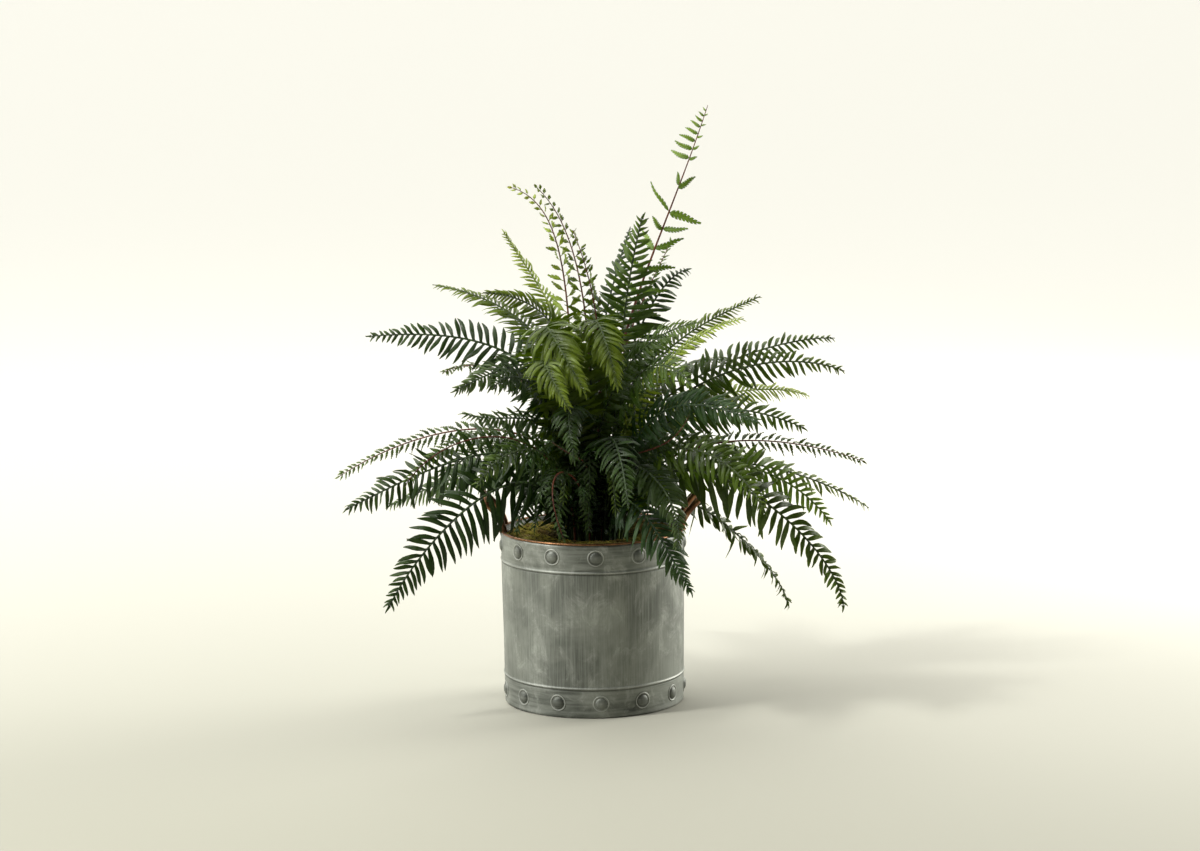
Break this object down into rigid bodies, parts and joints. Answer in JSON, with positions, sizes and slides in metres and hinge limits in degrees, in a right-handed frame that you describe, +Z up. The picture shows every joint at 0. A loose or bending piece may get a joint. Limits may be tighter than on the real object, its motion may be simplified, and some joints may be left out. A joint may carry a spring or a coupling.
{
  "type": "potted river fern",
  "caption": "Full river fern with arching fronds of narrow leaflets, standing in a round banded zinc pot with a copper rim, two small copper handles and moss on the soil.",
  "frame": {"origin": "middle of the pot's flat base, on the surface that it stands on", "axes": "+Z up along the pot's axis; +X to the right and -Y towards someone facing the front; the handles are on the X axis"},
  "size_m": [0.71, 0.585, 0.775],
  "materials": {
    "zinc": "dull galvanised sheet with upright brushed streaks and a pale bloom",
    "copper": "aged copper, satin",
    "soil": "damp potting mix, matt",
    "moss": "dry stringy moss, yellow green with brown",
    "leaf_deep": "soft satin leaf with a raised midrib",
    "leaf_green": "soft satin leaf with a raised midrib",
    "leaf_olive": "soft satin leaf with a raised midrib",
    "leaf_lime": "soft satin leaf with a raised midrib",
    "leaf_blue": "soft satin leaf with a raised midrib",
    "leaf_grey": "soft satin leaf with a raised midrib"
  },
  "bodies": {
    "root": {"pot": "zinc", "copper_rim": "copper", "handle_right": "copper", "handle_left": "copper", "potting_soil": "soil", "moss": "moss", "frond_left_high": "leaf_deep", "frond_left_low": "leaf_deep", "frond_left_mid": "leaf_deep", "frond_left_under": "leaf_grey", "frond_left_lace": "leaf_green", "frond_left_grey": "leaf_grey", "frond_left_small": "leaf_deep", "frond_left_top": "leaf_olive", "frond_left_lime": "leaf_lime", "frond_left_olive": "leaf_olive", "frond_arch_big": "leaf_olive", "frond_arch_right": "leaf_olive", "frond_arch_light": "leaf_olive", "frond_centre_blue": "leaf_deep", "frond_tall_dark": "leaf_deep", "frond_tall_lace": "leaf_green", "frond_top_lace_left": "leaf_green", "frond_top_lace_mid": "leaf_green", "frond_top_lace_right": "leaf_deep", "frond_right_top_dark": "leaf_deep", "frond_right_top_olive": "leaf_olive", "frond_right_lime": "leaf_lime", "frond_right_arch": "leaf_olive", "frond_right_high": "leaf_green", "frond_right_upper": "leaf_green", "frond_right_back_lime": "leaf_lime", "frond_right_blue": "leaf_blue", "frond_right_dark": "leaf_deep", "frond_right_lace": "leaf_green", "frond_right_edge": "leaf_olive", "frond_right_face": "leaf_olive", "frond_right_low": "leaf_deep", "frond_right_low_back": "leaf_olive", "frond_front_droop": "leaf_blue", "frond_front_right": "leaf_deep", "frond_front_lace": "leaf_deep", "frond_right_red_lace": "leaf_deep", "frond_front_small_lace": "leaf_deep", "frond_back_low": "leaf_deep", "frond_back_mid": "leaf_blue", "frond_back_high": "leaf_olive", "frond_back_left_low": "leaf_green", "frond_back_left_mid": "leaf_green", "frond_back_left_high": "leaf_deep", "frond_back_right_low": "leaf_olive", "frond_back_right_mid": "leaf_green", "frond_back_right_high": "leaf_green", "frond_back_steep": "leaf_deep", "frond_front_left": "leaf_green", "frond_front_mid": "leaf_deep", "frond_front_left_high": "leaf_deep", "frond_front_right_high": "leaf_green", "frond_right_front": "leaf_deep", "frond_left_front": "leaf_green"}
  },
  "joints": []
}
